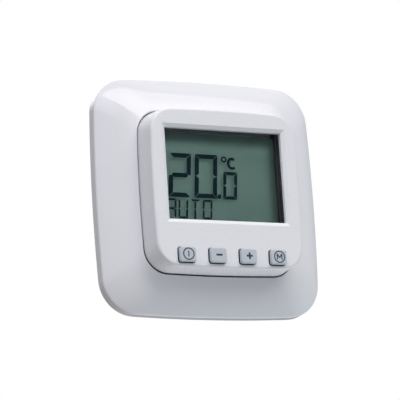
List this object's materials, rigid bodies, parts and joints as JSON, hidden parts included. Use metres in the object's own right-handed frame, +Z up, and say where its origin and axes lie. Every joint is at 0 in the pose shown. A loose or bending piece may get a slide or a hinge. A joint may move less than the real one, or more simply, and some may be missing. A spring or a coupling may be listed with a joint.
{
  "type": "wall thermostat",
  "caption": "Flush-mounted room thermostat: crowned square frame, raised centre module with display window and a row of sprung buttons, housing for a wall box behind.",
  "frame": {"origin": "centre of the wall plane, on the rear face of the mounting bridge, midway between the box screws", "axes": "+X to the right as seen from the room, +Y into the wall, +Z up"},
  "size_m": [0.081, 0.0473, 0.081],
  "materials": {
    "frame_plastic": "glossy white thermoset moulding",
    "cover_plastic": "white moulding, satin gloss",
    "clear_pane": "clear polycarbonate",
    "display_glass": "polished display plate",
    "reflector_foil": "grey-green transflective foil",
    "holder_black": "black moulding",
    "contact_rubber": "striped conductive rubber",
    "button_grey": "light blue-grey moulding",
    "switch_black": "black moulding",
    "plunger_plastic": "red-brown moulding",
    "board_green": "solder mask on glass-epoxy",
    "chip_epoxy": "moulded epoxy",
    "tinned_metal": "tin plate",
    "sleeve_blue": "shrink sleeve",
    "resistor_ceramic": "thick-film chip",
    "sensor_bead": "epoxy-dipped bead",
    "carrier_grey": "light grey moulding",
    "bridge_steel": "zinc-plated sheet",
    "screw_steel": "zinc-plated steel",
    "housing_grey": "light grey polyamide",
    "relay_case": "black case",
    "film_case": "yellow case",
    "varistor_blue": "dipped disc",
    "fuse_brown": "brown case",
    "terminal_plastic": "dark grey polyamide",
    "clamp_brass": "plated brass"
  },
  "bodies": {
    "thermostat": {"outer_frame": "frame_plastic", "front_cover": "cover_plastic", "display_window": "clear_pane", "display_front_glass": "display_glass", "display_rear_glass": "display_glass", "display_reflector": "reflector_foil", "upper_contact_strip": "contact_rubber", "lower_contact_strip": "contact_rubber", "display_holder": "holder_black", "control_board": "board_green", "controller_chip": "chip_epoxy", "controller_leads": "tinned_metal", "backup_capacitor": "sleeve_blue", "clock_crystal": "tinned_metal", "board_resistors": "resistor_ceramic", "air_sensor": "sensor_bead", "board_screws": "screw_steel", "header_pins": "tinned_metal", "header_plug": "switch_black", "header_socket": "switch_black", "carrier": "carrier_grey", "mounting_bridge": "bridge_steel", "bridge_screws": "screw_steel", "insert_housing": "housing_grey", "power_board": "board_green", "switching_relay": "relay_case", "film_capacitor": "film_case", "smoothing_capacitor": "sleeve_blue", "mains_fuse": "fuse_brown", "surge_varistor": "varistor_blue", "bridge_rectifier": "chip_epoxy", "solder_joints": "tinned_metal", "terminal_block": "terminal_plastic", "terminal_clamps": "clamp_brass", "terminal_screws": "screw_steel", "power_switch": "switch_black", "minus_switch": "switch_black", "plus_switch": "switch_black", "mode_switch": "switch_black"},
    "power_key": {"power_button": "button_grey", "power_plunger": "plunger_plastic"},
    "minus_key": {"minus_button": "button_grey", "minus_plunger": "plunger_plastic"},
    "plus_key": {"plus_button": "button_grey", "plus_plunger": "plunger_plastic"},
    "mode_key": {"mode_button": "button_grey", "mode_plunger": "plunger_plastic"}
  },
  "joints": [
    {"name": "power_press", "type": "slide", "parent": "thermostat", "child": "power_key", "axis": [0, 1, 0], "range_m": [0, 0.0005], "stiffness_N_per_m": 2400, "springref_m": -0.0003},
    {"name": "minus_press", "type": "slide", "parent": "thermostat", "child": "minus_key", "axis": [0, 1, 0], "range_m": [0, 0.0005], "stiffness_N_per_m": 2400, "springref_m": -0.0003},
    {"name": "plus_press", "type": "slide", "parent": "thermostat", "child": "plus_key", "axis": [0, 1, 0], "range_m": [0, 0.0005], "stiffness_N_per_m": 2400, "springref_m": -0.0003},
    {"name": "mode_press", "type": "slide", "parent": "thermostat", "child": "mode_key", "axis": [0, 1, 0], "range_m": [0, 0.0005], "stiffness_N_per_m": 2400, "springref_m": -0.0003}
  ]
}
